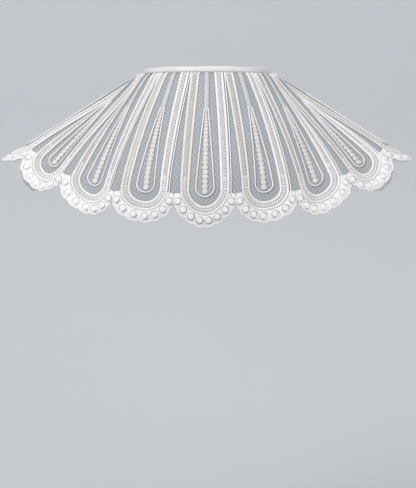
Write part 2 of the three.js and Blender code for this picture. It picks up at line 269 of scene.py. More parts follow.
def raised(u, v, rise):
    """The draped surface, raised by an amount along its outward normal."""
    u, v, rise = np.broadcast_arrays(u * 1.0, v * 1.0, rise * 1.0)
    step = 0.002
    edge = PETALS_PER_SIDE + 0.5 - step
    middle = np.clip(u, -edge, edge)
    across = drape(middle + step, v) - drape(middle - step, v)
    down = drape(u, v + step) - drape(u, v - step)
    return drape(u, v) + unit(np.cross(down, across)) * rise[..., None]


def mix(a, b, share):
    """The value that lies a share of the way from a to b."""
    return a + (b - a) * share


def half_width(y):
    """Half the width of a petal at drop y."""
    return mix(PETAL_NECK_WIDTH, PETAL_WIDTH, y / CLEFT_DROP) / 2


def window_half(y):
    """Half the width of the net window between the two legs of a braid."""
    return mix(WINDOW_TOP, WINDOW_RADIUS, y / BEND_DROP)


def on_petal(petal):
    """Gives the function that lays points of one petal's flat drawing on the draped net."""

    def lay(x, y, rise):
        return raised(petal + x / (2 * half_width(y)), y / CLEFT_DROP, rise)

    return lay


def on_band(length, height, rise):
    """Lays a point on the outer face of the neck binding."""
    point = seam_point(length)
    slope = point[..., :2] / np.array([NECK_HALF_WIDTH**2, NECK_HALF_DEPTH**2])
    out = unit(np.concatenate([slope, 0 * slope[..., :1]], axis=-1))
    up = np.array([0, 0, 1.0])
    return point + out * rise[..., None] + up * (SEAM_SPACE + height)[..., None]


def node_name(kind, petal):
    """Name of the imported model's node for one petal, such as braid_08."""
    return f"{kind}_{petal + PETALS_PER_SIDE + 1:02d}"


class Link:
    """An output socket that takes part in Python arithmetic by adding Math nodes."""

    def __init__(self, graph, socket):
        self.graph = graph
        self.socket = socket

    def math(self, operation, *others):
        inputs = dict(enumerate((self, *others)))
        return self.graph.add("ShaderNodeMath", {"operation": operation}, inputs)

    def __add__(self, other):
        return self.math("ADD", other)

    def __sub__(self, other):
        return self.math("SUBTRACT", other)

    def __rsub__(self, other):
        return self.graph.add("ShaderNodeMath", {"operation": "SUBTRACT"}, {0: other, 1: self})

    def __mul__(self, other):
        return self.math("MULTIPLY", other)

    def __truediv__(self, other):
        return self.math("DIVIDE", other)


class Graph:
    """Adds nodes to one node tree."""

    def __init__(self, tree):
        self.tree = tree

    def add(self, kind, settings=None, inputs=None, output=0):
        """One node with its settings, ramp stops and input values or links."""
        node = self.tree.nodes.new(kind)
        for name, value in (settings or {}).items():
            if name == "stops":
                self.set_stops(node.color_ramp.elements, value)
            else:
                setattr(node, name, value)
        for key, value in (inputs or {}).items():
            for item in value if isinstance(value, list) else [value]:
                if isinstance(item, Link):
                    self.tree.links.new(item.socket, node.inputs[key])
                else:
                    node.inputs[key].default_value = item
        return Link(self, node.outputs[output]) if len(node.outputs) else node

    def set_stops(self, elements, stops):
        while len(elements) < len(stops):
            elements.new(1.0)
        for element, (position, colour) in zip(elements, stops):
            element.position = position
            element.color = (*colour, 1.0)


class Finish(Graph):
    """A material whose pattern is built from nodes."""

    def __init__(self, name):
        self.material = bpy.data.materials.new(name)
        self.material.use_nodes = True
        super().__init__(self.material.node_tree)
        self.tree.nodes.clear()

    def attribute(self, name, output="Fac"):
        return self.add("ShaderNodeAttribute", {"attribute_name": name}, output=output)

    def place(self):
        return self.add("ShaderNodeTexCoord", output="Object")

    def cloth(self):
        """Stitch coordinates of the piece in metres, from its UV map."""
        return self.add("ShaderNodeUVMap", {"uv_map": "UVMap"})

    def parts(self, vector):
        node = self.tree.nodes.new("ShaderNodeSeparateXYZ")
        self.tree.links.new(vector.socket, node.inputs[0])
        return Link(self, node.outputs[0]), Link(self, node.outputs[1])

    def waves(self, value, pitch):
        """Rounded ridges from 0 to 1 that repeat at a pitch along a length."""
        return (value * (2 * math.pi / pitch)).math("SINE") * 0.5 + 0.5

    def noise(self, vector, scale, detail=2.0):
        inputs = {"Vector": vector, "Scale": scale, "Detail": detail}
        return self.add("ShaderNodeTexNoise", None, inputs)

    def blend(self, a, b, share):
        """A colour between two colours."""
        inputs = {0: share, 6: a, 7: b}
        return self.add("ShaderNodeMix", {"data_type": "RGBA"}, inputs, output=2)

    def bump(self, height, strength, distance):
        inputs = {"Height": height, "Strength": strength, "Distance": distance}
        return self.add("ShaderNodeBump", None, inputs)

    def surface(self, **sockets):
        """Ends the material in a Principled shader with the given sockets."""
        inputs = {name.replace("_", " "): value for name, value in sockets.items()}
        shader = self.add("ShaderNodeBsdfPrincipled", None, inputs)
        self.add("ShaderNodeOutputMaterial", None, {"Surface": shader})
        return self.material


def colour(value):
    """A property's colour as four numbers for a node's socket."""
    return (*value, 1.0)


def net_finish(name):
    """Fine net: threads crossed in tall diamonds over darker holes, light where thread backs it."""
    look = colours()
    finish = Finish(name)
    across, down = finish.parts(finish.cloth())
    wide = across / look.diamond_width
    tall = down / look.diamond_height
    rising = finish.waves(wide + tall, 1.0).math("POWER", 12.0)
    falling = finish.waves(wide - tall, 1.0).math("POWER", 12.0)
    threads = rising.math("MAXIMUM", falling)
    cloud = finish.noise(finish.place(), 38.0)
    uneven = finish.noise(finish.place(), 260.0)
    share = threads * 0.85 + cloud * 0.3 + uneven * 0.2 - 0.12
    open_net = finish.blend(colour(look.net_shade), colour(look.net_thread), share)
    base = finish.blend(open_net, colour(look.braid), finish.attribute("tone") * 0.9)
    relief = finish.bump(threads, 0.35, 0.0004)
    return finish.surface(
        Base_Color=base,
        Roughness=0.85,
        Normal=relief,
        Sheen_Weight=0.15,
        Specular_IOR_Level=0.25,
    )


def thread_finish(name, light, pitch, roughness):
    """Embroidery thread: net darkened with painted shade at tone 0, dull satin at 0.4, cream at
    0.65, light thread at 1.
    """
    look = colours()
    finish = Finish(name)
    along, across = finish.parts(finish.cloth())
    grain = finish.noise(finish.place(), 900.0)
    cloud = finish.noise(finish.place(), 45.0)
    stitches = finish.waves(along + across * 0.35 + grain * pitch * 0.5, pitch)
    stops = [(0.0, look.shaded_recess), (0.4, look.satin), (0.65, look.cream), (1.0, light)]
    tone = finish.attribute("tone") - finish.attribute("dim") + (cloud - 0.5) * 0.16
    shade = finish.add("ShaderNodeValToRGB", {"stops": stops}, {0: tone})
    dimmed = finish.blend(shade, colour(look.stitch_shadow), (1 - stitches) * 0.16)
    relief = finish.bump(stitches + grain * 0.3, 0.5, 0.00025)
    return finish.surface(
        Base_Color=dimmed,
        Roughness=(grain - 0.5) * 0.2 + roughness,
        Normal=relief,
        Sheen_Weight=0.2,
        Specular_IOR_Level=0.35,
    )


def band_finish(name):
    """Smooth woven binding, faintly pink, with a fine cross weave."""
    look = colours()
    finish = Finish(name)
    along, across = finish.parts(finish.cloth())
    weave = finish.waves(along, 0.0009) * 0.5 + finish.waves(across, 0.0009) * 0.5
    cloud = finish.noise(finish.place(), 60.0)
    tone = finish.blend(colour(look.band), colour(look.band_shadow), cloud * 0.5 + weave * 0.12)
    creases = finish.noise(finish.place(), 140.0)
    relief = finish.bump(weave * 0.5 + creases, 0.3, 0.0005)
    return finish.surface(
        Base_Color=tone,
        Roughness=weave * 0.1 + 0.6,
        Normal=relief,
        Sheen_Weight=0.15,
        Specular_IOR_Level=0.35,
    )


def clasp_finish(name):
    """Satin metal with fine lines brushed along the plate."""
    look = colours()
    finish = Finish(name)
    stretched = finish.add("ShaderNodeMapping", None, {0: finish.place(), 3: (40.0, 900.0, 2600.0)})
    lines = finish.noise(stretched, 1.0, 4.0)
    tone = finish.blend(colour(look.metal), colour(look.metal_shadow), lines * 0.6)
    return finish.surface(
        Base_Color=tone,
        Metallic=1.0,
        Roughness=lines * 0.25 + 0.24,
        Normal=finish.bump(lines, 0.2, 0.0001),
    )


def studio_finish(tone):
    """Plain matt paper for the floor and backdrop, clear where it is seen from behind."""
    finish = Finish("studio_paper")
    cloud = finish.noise(finish.place(), 3.0)
    base = finish.blend(colour(tone), colour([part * 0.97 for part in tone]), cloud)
    inputs = {"Base Color": base, "Roughness": 0.95, "Specular IOR Level": 0.1}
    paper = finish.add("ShaderNodeBsdfPrincipled", None, inputs)
    clear = finish.add("ShaderNodeBsdfTransparent")
    behind = finish.add("ShaderNodeNewGeometry", output="Backfacing")
    mixed = finish.add("ShaderNodeMixShader", None, {0: behind, 1: paper, 2: clear})
    finish.add("ShaderNodeOutputMaterial", None, {"Surface": mixed})
    return finish.material


def tube_faces(rings, sides):
    """Faces of a closed tube whose points are numbered ring by ring."""
    faces = []
    for start in range(0, (rings - 1) * sides, sides):
        for k in range(sides):
            n = (k + 1) % sides
            faces.append((start + k, start + n, start + sides + n, start + sides + k))
    faces.append(tuple(range(sides))[::-1])
    faces.append(tuple(range((rings - 1) * sides, rings * sides)))
    return faces


class Sewing:
    """Gathers the points, faces, stitch coordinates and tones of one piece."""

    def __init__(self):
        self.points = []
        self.faces = []
        self.cloth = []
        self.tones = []
        self.seats = []

    def add(self, points, cloth, tone, faces):
        """Adds points, which may be a grid of any shape, and faces that number them from 0."""
        first = sum(len(block) for block in self.points)
        shape = points.shape[:-1]
        self.points.append(points.reshape(-1, 3))
        self.cloth.append(np.broadcast_to(cloth, (*shape, 2)).reshape(-1, 2))
        self.tones.append(np.broadcast_to(tone, shape).reshape(-1))
        self.faces.extend([first + int(corner) for corner in face] for face in faces)

    def cord(self, lay, path, width, height, low=SPACE, tone=1.0, sides=6):
        """Lays a closed cord or ribbon with a rounded top along a path of a flat drawing."""
        path = np.asarray(path, dtype=float)
        count = len(path)
        step = np.gradient(path, axis=0)
        step /= np.linalg.norm(step, axis=1, keepdims=True)
        length = np.append(0, np.cumsum(np.linalg.norm(np.diff(path, axis=0), axis=1)))
        angles = np.linspace(0, math.pi, sides)
        width = np.broadcast_to(width, count)[:, None] / 2
        height = np.broadcast_to(height, count)[:, None]
        aside = width * np.cos(angles)
        x = path[:, :1] - step[:, 1:] * aside
        y = path[:, 1:] + step[:, :1] * aside
        points = lay(x, y, low + height * np.sin(angles) ** 0.7)
        cloth = np.stack([length[:, None] + 0 * aside, aside], axis=-1)
        tone = np.broadcast_to(tone, count)[:, None]
        self.add(points, cloth, tone, tube_faces(count, sides))

    def slab(self, lay, x, y, low, high, tone=1.0):
        """Lays a grid of flat points as a thin closed slab with walls all round."""
        rows, columns = x.shape
        points = np.stack([lay(x, y, low), lay(x, y, high)])
        cloth = np.stack([x, y], axis=-1)
        number = np.arange(2 * rows * columns).reshape(2, rows, columns)
        under, upper = number
        faces = []
        for i in range(rows - 1):
            for j in range(columns - 1):
                corners = [(i, j), (i, j + 1), (i + 1, j + 1), (i + 1, j)]
                faces.append([upper[place] for place in corners])
                faces.append([under[place] for place in reversed(corners)])
        rim = [(0, j) for j in range(columns)]
        rim += [(i, columns - 1) for i in range(1, rows)]
        rim += [(rows - 1, j) for j in range(columns - 2, -1, -1)]
        rim += [(i, 0) for i in range(rows - 2, 0, -1)]
        for place, after in zip(rim, rim[1:] + rim[:1]):
            faces.append([under[place], under[after], upper[after], upper[place]])
        self.add(points, cloth, tone, faces)

    def seat(self, lay, x, y, angle, size, low=SPACE, tone=1.0):
        """Marks where repeated stitches are laid, each turned by an angle in the flat drawing."""
        x, y, angle, tone = np.broadcast_arrays(x, y, angle, tone)
        sizes = np.broadcast_to(size, (len(x), 3))
        step = 0.0004
        rise = np.full(len(x), low)
        middles = lay(x, y, rise)
        across = unit(lay(x + step, y, rise) - middles)
        out = unit(np.cross(lay(x, y + step, rise) - middles, across))
        for i, middle in enumerate(middles):
            side = Vector(across[i])
            normal = Vector(out[i])
            axes = Matrix((side, normal.cross(side), normal)).transposed()
            turn = (axes @ Matrix.Rotation(-angle[i], 3, "Z")).to_euler()
            self.seats.append((tuple(middle), tuple(turn), tuple(sizes[i]), float(tone[i])))

    def make(self, name, finish, shape=None):
        """Makes the piece, with its repeated stitches laid by Geometry Nodes."""
        seats = self.seats
        if seats:
            middles = np.array([seat[0] for seat in seats])
            self.add(middles, np.zeros(2), 1.0, [])
        points = np.concatenate(self.points)
        mesh = bpy.data.meshes.new(name)
        mesh.from_pydata(points.tolist(), [], self.faces)
        cloth = np.concatenate(self.cloth)
        corners = np.empty(len(mesh.loops), dtype=np.int32)
        mesh.loops.foreach_get("vertex_index", corners)
        layer = mesh.uv_layers.new(name="UVMap")
        layer.data.foreach_set("uv", cloth[corners].ravel().astype(np.float32))
        tone = mesh.attributes.new("tone", "FLOAT", "POINT")
        tone.data.foreach_set("value", np.concatenate(self.tones).astype(np.float32))
        piece = put(name, mesh)
        mesh.materials.append(finish)
        face_out(mesh)
        if seats:
            self.sew_seats(piece, finish, shape)
        piece.data.shade_smooth()
        return piece

    def sew_seats(self, piece, finish, shape):
        """Puts the shape on every seat and keeps the result as a plain mesh."""
        mesh = piece.data
        count = len(mesh.vertices)
        seats = self.seats
        first = count - len(seats)
        marked = np.zeros(count, dtype=bool)
        marked[first:] = True
        turns = np.zeros((count, 3))
        turns[first:] = [seat[1] for seat in seats]
        sizes = np.ones((count, 3))
        sizes[first:] = [seat[2] for seat in seats]
        # The shape's own tone is kept, so a darker seat is stored as what it takes away from it
        dim = np.zeros(count, dtype=np.float32)
        dim[first:] = [1 - seat[3] for seat in seats]
        stored = (
            ("seat", "BOOLEAN", "value", marked),
            ("turn", "FLOAT_VECTOR", "vector", turns),
            ("size", "FLOAT_VECTOR", "vector", sizes),
            ("dim", "FLOAT", "value", dim),
        )
        for label, kind, key, values in stored:
            mesh.attributes.new(label, kind, "POINT").data.foreach_set(key, values.ravel())
        tree = stitch_tree()
        modifier = piece.modifiers.new("stitches", "NODES")
        modifier.node_group = tree
        sockets = {i.name: i.identifier for i in tree.interface.items_tree if i.in_out == "INPUT"}
        modifier[sockets["Shape"]] = shape
        modifier[sockets["Finish"]] = finish
        modifier[sockets["Plumpness"]] = bpy.context.scene.collar_sizes.plumpness
        graph = bpy.context.evaluated_depsgraph_get()
        sewn = bpy.data.meshes.new_from_object(piece.evaluated_get(graph))
        piece.modifiers.clear()
        piece.data = sewn
        sewn.name = piece.name
        bpy.data.meshes.remove(mesh)
        for name in ("seat", "turn", "size"):
            attribute = sewn.attributes.get(name)
            if attribute:
                sewn.attributes.remove(attribute)


def put(name, data):
    """A new object in the scene that shows the given data."""
    item = bpy.data.objects.new(name, data)
    bpy.context.collection.objects.link(item)
    return item


def face_out(mesh):
    """Turns every face of a closed mesh outwards."""
    cage = bmesh.new()
    cage.from_mesh(mesh)
    bmesh.ops.recalc_face_normals(cage, faces=cage.faces)
    cage.to_mesh(mesh)
    cage.free()


def stitch_tree():
    """Geometry Nodes tree that sets one stitch shape on every marked point of a piece."""
    name = "stitches_on_net"
    if name in bpy.data.node_groups:
        return bpy.data.node_groups[name]
    tree = bpy.data.node_groups.new(name, "GeometryNodeTree")
    face = tree.interface
    face.new_socket(name="Piece", in_out="INPUT", socket_type="NodeSocketGeometry")
    face.new_socket(name="Shape", in_out="INPUT", socket_type="NodeSocketObject")
    face.new_socket(name="Finish", in_out="INPUT", socket_type="NodeSocketMaterial")
    plump = face.new_socket(name="Plumpness", in_out="INPUT", socket_type="NodeSocketFloat")
    plump.default_value = 1.0
    face.new_socket(name="Piece", in_out="OUTPUT", socket_type="NodeSocketGeometry")
    graph = Graph(tree)
    given = tree.nodes.new("NodeGroupInput").outputs
    piece = Link(graph, given["Piece"])
    plumpness = Link(graph, given["Plumpness"])

    def stored(kind, label):
        return graph.add("GeometryNodeInputNamedAttribute", {"data_type": kind}, {"Name": label})

    seat = stored("BOOLEAN", "seat")
    turn = graph.add("FunctionNodeEulerToRotation", None, {0: stored("FLOAT_VECTOR", "turn")})
    height = graph.add("ShaderNodeCombineXYZ", None, {0: 1.0, 1: 1.0, 2: plumpness})
    sizes = {"operation": "MULTIPLY"}
    size = graph.add("ShaderNodeVectorMath", sizes, {0: stored("FLOAT_VECTOR", "size"), 1: height})
    shape = graph.add("GeometryNodeObjectInfo", None, {0: Link(graph, given["Shape"])}, "Geometry")
    laid = graph.add(
        "GeometryNodeInstanceOnPoints",
        None,
        {"Points": piece, "Selection": seat, "Instance": shape, "Rotation": turn, "Scale": size},
    )
    rest = graph.add("GeometryNodeDeleteGeometry", None, {"Geometry": piece, "Selection": seat})
    joined = graph.add("GeometryNodeJoinGeometry", None, {0: [laid, rest]})
    real = graph.add("GeometryNodeRealizeInstances", None, {0: joined})
    finished = graph.add(
        "GeometryNodeSetMaterial",
        None,
        {"Geometry": real, "Material": Link(graph, given["Finish"])},
    )
    graph.add("NodeGroupOutput", None, {0: finished})
    return tree


def turned_shape(profile, sides, tones=None):
    """A closed round stitch shape, turned from a profile of (radius, height) points."""
    sewing = Sewing()
    angles = np.linspace(0, 2 * math.pi, sides, endpoint=False)
    profile = np.array(profile)
    rings = profile[:, :1] * np.stack([np.cos(angles), np.sin(angles)])[:, None, :]
    points = np.stack([*rings, profile[:, 1:] + 0 * angles], axis=-1)
    tone = np.ones(len(profile)) if tones is None else np.array(tones)
    sewing.add(points, points[..., :2], tone[:, None], tube_faces(len(profile), sides))
    return sewing


def hidden_shape(sewing, name, finish):
    """Makes a stitch shape that is only read by Geometry Nodes."""
    shape = sewing.make(name, finish)
    shape.hide_render = True
    return shape


def settle(piece, node):
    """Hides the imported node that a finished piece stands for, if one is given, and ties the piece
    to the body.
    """
    if node:
        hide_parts(node)
    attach(piece, "root")
    return piece


class CollarSizes(PropertyGroup):
    """Sizes of the thread work that a user may change."""

    plumpness: FloatProperty(
        name="Plumpness", description="Height of dots and stitches", default=1.0, min=0.2, max=2
    )
    braid_rise: FloatProperty(
        name="Braid rise", description="Height of the braid rails", default=0.0013, unit="LENGTH"
    )
    rail_width: FloatProperty(
        name="Rail width", description="Width of a braid rail", default=0.0028, unit="LENGTH"
    )
    rung_pitch: FloatProperty(
        name="Rung pitch", description="Length of one zigzag", default=0.0044, unit="LENGTH"
    )
    bar_pitch: FloatProperty(
        name="Bar pitch", description="Between bars of the bend", default=0.0028, unit="LENGTH"
    )
    stem_width: FloatProperty(
        name="Stem width", description="Width of a satin stem", default=0.0058, unit="LENGTH"
    )
    cord_width: FloatProperty(
        name="Cord width", description="Width of a loop cord", default=0.0016, unit="LENGTH"
    )
    side_cord_width: FloatProperty(
        name="Side cord width", description="Width of a side cord", default=0.0015, unit="LENGTH"
    )
    largest_dot: FloatProperty(
        name="Largest dot", description="Radius of the lowest dot", default=0.0037, unit="LENGTH"
    )
    knobs: IntProperty(name="Knobs", description="Knobs in one scallop", default=7, min=3, max=11)


class CollarColours(PropertyGroup):
    """Colours of the cloth and threads that a user may change."""

    net_thread: FloatVectorProperty(
        name="Net thread", description="Threads of the net",
        default=(0.5, 0.515, 0.53), subtype="COLOR",
    )
    net_shade: FloatVectorProperty(
        name="Net shade", description="Holes of the net",
        default=(0.325, 0.34, 0.355), subtype="COLOR",
    )
    diamond_width: FloatProperty(
        name="Diamond width", description="Width of a net diamond", default=0.005, unit="LENGTH"
    )
    diamond_height: FloatProperty(
        name="Diamond height", description="Height of a net diamond", default=0.008, unit="LENGTH"
    )
    braid: FloatVectorProperty(
        name="Braid", description="Braid thread", default=(0.92, 0.905, 0.90), subtype="COLOR"
    )
    cord: FloatVectorProperty(
        name="Cord", description="Cord thread", default=(0.93, 0.925, 0.91), subtype="COLOR"
    )
    cream: FloatVectorProperty(
        name="Cream", description="Thread of left legs",
        default=(0.80, 0.775, 0.735), subtype="COLOR",
    )
    satin: FloatVectorProperty(
        name="Satin", description="Dull satin of the stems",
        default=(0.58, 0.6, 0.6), subtype="COLOR",
    )
    # The net between stitches, darker than the open net: partly net colour, partly painted shade in
    # the recesses of holes and knob grooves
    shaded_recess: FloatVectorProperty(
        name="Recess", description="Net between stitches",
        default=(0.24, 0.245, 0.25), subtype="COLOR",
    )
    stitch_shadow: FloatVectorProperty(
        name="Stitch shadow", description="Between two stitches",
        default=(0.5, 0.48, 0.46), subtype="COLOR",
    )
    band: FloatVectorProperty(
        name="Binding", description="Neck binding", default=(0.87, 0.825, 0.82), subtype="COLOR"
    )
    band_shadow: FloatVectorProperty(
        name="Binding shadow", description="Creases of the binding",
        default=(0.74, 0.69, 0.69), subtype="COLOR",
    )
    metal: FloatVectorProperty(
        name="Metal", description="Clasp plate", default=(0.72, 0.72, 0.73), subtype="COLOR"
    )
    metal_shadow: FloatVectorProperty(
        name="Metal shadow", description="Brushed lines",
        default=(0.46, 0.46, 0.47), subtype="COLOR",
    )
    paper: FloatVectorProperty(
        name="Paper", description="Floor and backdrop", default=(0.62, 0.63, 0.65), subtype="COLOR"
    )


def sizes():
    return bpy.context.scene.collar_sizes


def colours():
    return bpy.context.scene.collar_colours


def kept_finish(name, make, *values):
    """The material of that name, made the first time it is asked for."""
    return bpy.data.materials.get(name) or make(name, *values)


def braid_finish():
    return kept_finish("braid_thread", thread_finish, colours().braid, 0.0011, 0.7)


def cord_finish():
    return kept_finish("satin_cord", thread_finish, colours().cord, 0.0013, 0.5)


def leg_tone(x):
    """The left leg of a braid is a duller cream than the bend and the right leg."""
    return mix(CREAM_TONE, 1.0, ease(x, -WINDOW_RADIUS, 0.0))


def round_path(reach, drops, count):
    """Path down on the left, round a half circle and up on the right."""
    angles = np.linspace(-math.pi / 2, math.pi / 2, count)[1:-1]
    x = np.concatenate([-reach, reach[-1] * np.sin(angles), reach[::-1]])
    y = np.concatenate([drops, drops[-1] + reach[-1] * np.cos(angles), drops[::-1]])
    return np.stack([x, y], axis=1)


def round_bend(out):
    """Path along a braid, at a distance outside the net window."""
    drops = np.linspace(SEAM_CLEAR, BEND_DROP, 46)
    return round_path(window_half(drops) + out, drops, 34)


def flat_drawing(x, y, rise):
    """Lays a stitch shape out straight, for Geometry Nodes to place."""
    return np.stack(np.broadcast_arrays(x * 1.0, y * 1.0, rise * 1.0), axis=-1)


def bar_shape(finish):
    """One satin bar, a metre long, wide and high."""
    sewing = Sewing()
    ends = np.linspace(-0.5, 0.5, 6)
    width = np.array([0.35, 0.85, 1, 1, 0.85, 0.35])
    path = np.stack([ends, 0 * ends], axis=1)
    sewing.cord(flat_drawing, path, width, 0.4 + 0.6 * width, low=0.0, sides=5)
    return hidden_shape(sewing, "bar_stitch", finish)


def thread_behind(across, y):
    """How much thread backs the inner face of the net, at a share of half a petal and a drop."""
    x = np.abs(across) * half_width(y)
    leg = x - window_half(y)
    bend = np.hypot(x, y - BEND_DROP) - WINDOW_RADIUS
    out = np.where(y < BEND_DROP, leg, bend)
    beyond = ease(out, BRAID_WIDTH - 0.001, BRAID_WIDTH + 0.002) * (1 - ease(y, 0.158, 0.164))
    return ease(out, 0.0, 0.003) * (1 - beyond)


class COLLAR_OT_net_sheet(Operator):
    """Make the net sheet with its scalloped hem"""

    bl_idname = "collar.net_sheet"
    bl_label = "Net Sheet"

    def execute(self, context):
        columns = 20
        rows = 56
        sewing = Sewing()
        u = np.linspace(-PETALS_PER_SIDE - 0.5, PETALS_PER_SIDE + 0.5, columns * len(PETALS) + 1)
        reach = (u - np.round(u)) * PETAL_WIDTH * 1.04
        edge = (NOTCH_RADIUS - NET_BEHIND_HEM) ** 2 - reach**2
        hem = np.maximum(BEND_DROP + np.sqrt(np.maximum(edge, 0)), CLEFT_DROP) / CLEFT_DROP
        v = np.linspace(0, 1, rows)[:, None] * hem[None, :]
        u = np.broadcast_to(u, v.shape)
        backed = thread_behind((u - np.round(u)) * 2, v * CLEFT_DROP)
        sewing.slab(raised, u, v, -NET_THICKNESS, 0.0, tone=np.stack([backed, 0 * backed]))
        turn = (PETAL_WIDTH - PETAL_NECK_WIDTH) / CLEFT_DROP
        reach = PETAL_NECK_WIDTH / turn + v * CLEFT_DROP
        flat = np.stack([reach * np.sin(u * turn), reach * np.cos(u * turn)], axis=-1)
        sewing.cloth = [np.concatenate([flat.reshape(-1, 2)] * 2)]
        sheet = sewing.make("net_sheet", kept_finish("fine_net", net_finish))
        settle(sheet, "net_ground")
        return {"FINISHED"}


class COLLAR_OT_braids(Operator):
    """Make the ladder braid of every petal"""

    bl_idname = "collar.braids"
    bl_label = "Ladder Braids"

    def execute(self, context):
        finish = braid_finish()
        bar = bar_shape(finish)
        for petal in PETALS:
            name = node_name("braid", petal)
            sewing = Sewing()
            sew_braid(sewing, on_petal(petal), sizes(), petal)
            settle(sewing.make(f"ladder_{name}", finish, bar), name)
        bpy.data.objects.remove(bar)
        return {"FINISHED"}


def sew_braid(sewing, lay, size, petal):
    """Two rails with zigzag rungs between them on the legs and radial bars round the bend."""
    rail = size.rail_width
    channel = BRAID_WIDTH - 2 * rail
    for out in (rail / 2, BRAID_WIDTH - rail / 2):
        path = round_bend(out)
        sewing.cord(lay, path, rail + 0.0003, size.braid_rise, tone=leg_tone(path[:, 0]))
    path = round_bend(BRAID_WIDTH / 2)
    ladder_end = BEND_DROP - BARS_ABOVE_BEND * size.bar_pitch
    bent = ease(path[:, 1], ladder_end, ladder_end + 0.004)
    ground = mix(leg_tone(path[:, 0]), SLIT_TONE, bent)
    sewing.cord(lay, path, channel, GROUND_RISE, tone=ground, sides=4)
    drops = np.arange(FIRST_RUNG, ladder_end, size.rung_pitch / 2)
    turn = math.atan(size.rung_pitch / 2 / channel)
    slant = turn * (-1.0) ** np.arange(len(drops))
    rung = (channel / math.cos(turn) + UNDER_RAILS, RUNG_WIDTH, size.braid_rise)
    bar = (channel + UNDER_RAILS, size.bar_pitch * BAR_SHARE, size.braid_rise)
    for side in (-1, 1):
        middle = side * (window_half(drops) + BRAID_WIDTH / 2)
        tone = leg_tone(side * WINDOW_RADIUS)
        sewing.seat(lay, middle, drops, slant, rung, tone=tone)
        if side > 0 or petal not in FILLED_PETALS:
            between = drops[:-1] + size.rung_pitch / 4
            aside = HOLE_ASIDE * channel * (-1.0) ** np.arange(len(between))
            across = side * (window_half(between) + BRAID_WIDTH / 2) + aside
            low = SPACE + GROUND_RISE
            sewing.seat(lay, across, between, 0.0, HOLE_SIZE, low=low, tone=HOLE_TONE)
        lower = np.arange(ladder_end + size.bar_pitch / 2, BEND_DROP, size.bar_pitch)
        middle = side * (window_half(lower) + BRAID_WIDTH / 2)
        sewing.seat(lay, middle, lower, 0.0, bar, tone=tone)
    radius = WINDOW_RADIUS + BRAID_WIDTH / 2
    count = round(math.pi * radius / size.bar_pitch)
    angles = (np.arange(count + 1) / count - 0.5) * math.pi
    x = radius * np.sin(angles)
    y = BEND_DROP + radius * np.cos(angles)
    sewing.seat(lay, x, y, math.pi / 2 - angles, bar, tone=leg_tone(x))


class COLLAR_OT_stems(Operator):
    """Make the satin stem and cord loop of every petal"""

    bl_idname = "collar.stems"
    bl_label = "Stems and Loops"

    def execute(self, context):
        size = sizes()
        finish = cord_finish()
        radius = LOOP_RADIUS - size.cord_width / 2
        for petal in PETALS:
            name = node_name("stem_loop", petal)
            lay = on_petal(petal)
            sewing = Sewing()
            drops = np.linspace(SEAM_CLEAR, LOOP_SPLIT + 0.003, 20)
            stem = np.stack([0 * drops, drops], axis=1)
            width = size.stem_width * mix(0.92, 1.0, ease(drops, 0, 0.03))
            sewing.cord(lay, stem, width, STEM_HEIGHT, tone=STEM_TONE, sides=8)
            sides = np.linspace(LOOP_SPLIT, LOOP_DROP, 30)
            share = (sides - LOOP_SPLIT) / (LOOP_DROP - LOOP_SPLIT)
            reach = mix(size.stem_width / 2 - size.cord_width / 2, radius, share)
            sewing.cord(lay, round_path(reach, sides, 26), size.cord_width, LOOP_HEIGHT)
            settle(sewing.make(f"satin_{name}", finish), name)
        return {"FINISHED"}


class COLLAR_OT_dots(Operator):
    """Make the column of embroidered dots inside every loop"""

    bl_idname = "collar.dots"
    bl_label = "Dot Columns"

    def execute(self, context):
        finish = cord_finish()
        outline = [(0.25, 1.0), (0.6, 0.97), (0.85, 0.8), (0.97, 0.45), (1.0, 0.1), (0.97, -0.15)]
        dome = hidden_shape(turned_shape(outline, 12), "dot_stitch", finish)
        for petal in PETALS:
            name = node_name("dot_column", petal)
            sewing = Sewing()
            drop = LOOP_DROP + LOWEST_DOT
            drops = []
            radii = []
            while drop > DOTS_TOP:
                radius = sizes().largest_dot * np.interp(drop, DOT_DROPS, DOT_SHARES)
                drops.append(drop)
                radii.append(radius)
                drop -= radius * DOT_SPACING
            radii = np.array(radii)
            size = np.stack([radii, radii * 0.95, 0.0007 + radii * 0.1], axis=1)
            sewing.seat(on_petal(petal), 0 * radii, np.array(drops), 0.0, size, tone=DOT_TONE)
            settle(sewing.make(f"sewn_{name}", finish, dome), name)
        bpy.data.objects.remove(dome)
        return {"FINISHED"}


def knob_angles(petal):
    """Angles of the framed knobs round one scallop: one more at the middle of the back."""
    count = sizes().knobs + (1 if petal == 0 else 0)
    pitch = KNOB_PITCH * sizes().knobs / count
    return (np.arange(count) - (count - 1) / 2) * pitch, pitch


def scallop_edge(petal, angle):
    """Radius of the lobed hem round the bend of one petal, one shallow lobe for each knob."""
    angles, pitch = knob_angles(petal)
    share = np.mod((angle - angles[0]) / pitch + 0.5, 1.0)
    bump = 1 - (2 * share - 1) ** 2
    radius = NOTCH_RADIUS + (LOBE_RADIUS - NOTCH_RADIUS) * bump
    to_edge = half_width(CLEFT_DROP) / np.maximum(np.abs(np.sin(angle)), 0.01)
    return np.minimum(radius, to_edge)


